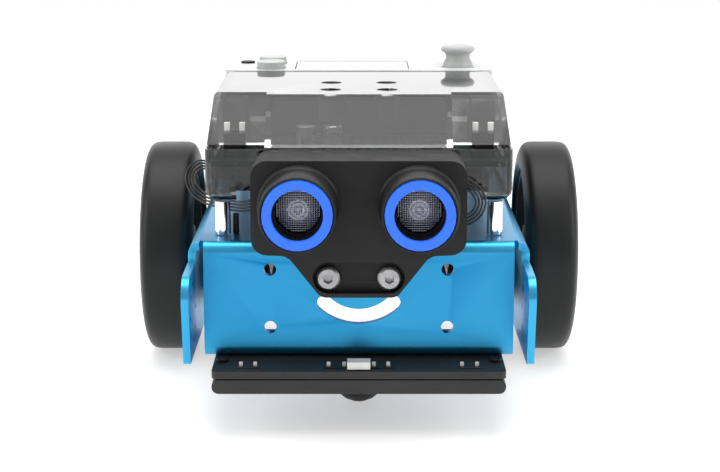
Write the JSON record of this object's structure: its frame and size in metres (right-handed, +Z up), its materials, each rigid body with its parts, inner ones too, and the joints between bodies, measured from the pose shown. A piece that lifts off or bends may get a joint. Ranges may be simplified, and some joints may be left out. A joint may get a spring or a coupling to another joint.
{
  "type": "two-wheeled educational robot",
  "caption": "Small two-wheeled classroom robot: bent sheet-metal chassis with a smile slot, twin-eye distance sensor, line sensor, ball caster and a snap-in handheld controller.",
  "frame": {"origin": "centre of the bounding box's base, on the floor", "axes": "+X to the right of someone facing the robot's face, -Y out of its face, +Z up"},
  "size_m": [0.1318, 0.1446, 0.0942],
  "materials": {
    "black_plastic": "black moulded plastic",
    "blue_light": "blue lit diffuser",
    "blue_metal": "blue anodised aluminium sheet, satin",
    "chrome": "bright nickel plate",
    "circuit_board": "printed circuit board with solder mask",
    "glass": "black screen glass",
    "grey_plastic": "fine-grained dark grey moulded plastic",
    "light_plastic": "light grey moulded plastic",
    "rubber": "matt black rubber, slick",
    "smoky_plastic": "smoke-tinted clear plastic, polished",
    "steel": "bright steel, lightly worn",
    "white_plastic": "white moulded plastic"
  },
  "bodies": {
    "robot": {"chassis_frame": "blue_metal", "caster_housing": "black_plastic", "standoff_front_left": "chrome", "standoff_front_right": "chrome", "standoff_rear_left": "chrome", "standoff_rear_right": "chrome", "line_sensor_lower_case": "grey_plastic", "line_sensor_upper_case": "grey_plastic", "line_sensor_board": "circuit_board", "line_sensor_socket": "white_plastic", "line_sensor_screw_left": "steel", "line_sensor_screw_right": "steel", "sensor_front_housing": "black_plastic", "sensor_rear_cover": "black_plastic", "sensor_circuit_board": "circuit_board", "sensor_light_ring_left": "blue_light", "sensor_light_ring_right": "blue_light", "sensor_transducer_left": "steel", "sensor_transducer_right": "steel", "sensor_screw_left": "chrome", "sensor_screw_right": "chrome", "sensor_lead_left": "black_plastic", "sensor_lead_right": "black_plastic", "sensor_socket_left": "white_plastic", "sensor_socket_front": "white_plastic", "shield_lower_case": "smoky_plastic", "shield_upper_case": "smoky_plastic", "shield_circuit_board": "circuit_board", "battery_pack": "grey_plastic", "motor_socket": "grey_plastic", "servo_socket": "grey_plastic", "capacitor_left": "steel", "capacitor_right": "steel", "charging_port": "steel", "controller_lower_case": "light_plastic", "controller_upper_case": "light_plastic", "controller_board": "circuit_board", "controller_screen": "glass", "controller_light_strip": "white_plastic", "motor_can_left": "steel", "motor_can_right": "steel", "gearbox_case_left": "grey_plastic", "gearbox_case_right": "grey_plastic", "gearbox_cover_left": "grey_plastic", "gearbox_cover_right": "grey_plastic"},
    "wheel_left": {"output_shaft_left": "steel", "wheel_hub_left": "grey_plastic", "tyre_left": "rubber"},
    "wheel_right": {"output_shaft_right": "steel", "wheel_hub_right": "grey_plastic", "tyre_right": "rubber"},
    "caster": {"caster_ball": "steel"},
    "joystick_gimbal": {"joystick_gimbal": "steel"},
    "joystick_stem": {"joystick_stem": "steel"},
    "joystick_cap": {"joystick_cap": "light_plastic"},
    "button_a": {"button_a": "light_plastic"},
    "button_b": {"button_b": "light_plastic"},
    "home_button": {"home_button": "black_plastic"},
    "power_switch": {"power_switch_slider": "black_plastic"}
  },
  "joints": [
    {"name": "wheel_left_spin", "type": "hinge", "parent": "robot", "child": "wheel_left", "pos_m": [-0.0579, 0.03895, 0.0325], "axis": [1, 0, 0], "continuous": true},
    {"name": "wheel_right_spin", "type": "hinge", "parent": "robot", "child": "wheel_right", "pos_m": [0.0579, 0.03895, 0.0325], "axis": [1, 0, 0], "continuous": true},
    {"name": "caster_roll", "type": "hinge", "parent": "robot", "child": "caster", "pos_m": [0, -0.02125, 0.008], "axis": [1, 0, 0], "continuous": true},
    {"name": "joystick_forward_back", "type": "hinge", "parent": "robot", "child": "joystick_gimbal", "pos_m": [0.031, 0.04925, 0.0838], "axis": [1, 0, 0], "range_deg": [-10, 10], "stiffness_Nm_per_rad": 0.02},
    {"name": "joystick_left_right", "type": "hinge", "parent": "joystick_gimbal", "child": "joystick_stem", "pos_m": [0.031, 0.04925, 0.0838], "axis": [0, 1, 0], "range_deg": [-10, 10], "stiffness_Nm_per_rad": 0.02},
    {"name": "joystick_press", "type": "slide", "parent": "joystick_stem", "child": "joystick_cap", "axis": [0, 0, 1], "range_m": [-0.0004, 0], "stiffness_N_per_m": 800},
    {"name": "button_a_press", "type": "slide", "parent": "robot", "child": "button_a", "axis": [0, 0, 1], "range_m": [-0.0006, 0], "stiffness_N_per_m": 800},
    {"name": "button_b_press", "type": "slide", "parent": "robot", "child": "button_b", "axis": [0, 0, 1], "range_m": [-0.0006, 0], "stiffness_N_per_m": 800},
    {"name": "home_button_press", "type": "slide", "parent": "robot", "child": "home_button", "axis": [0, 0, 1], "range_m": [-0.0004, 0], "stiffness_N_per_m": 800},
    {"name": "power_switch_slide", "type": "slide", "parent": "robot", "child": "power_switch", "axis": [1, 0, 0], "range_m": [0, 0.005]}
  ]
}
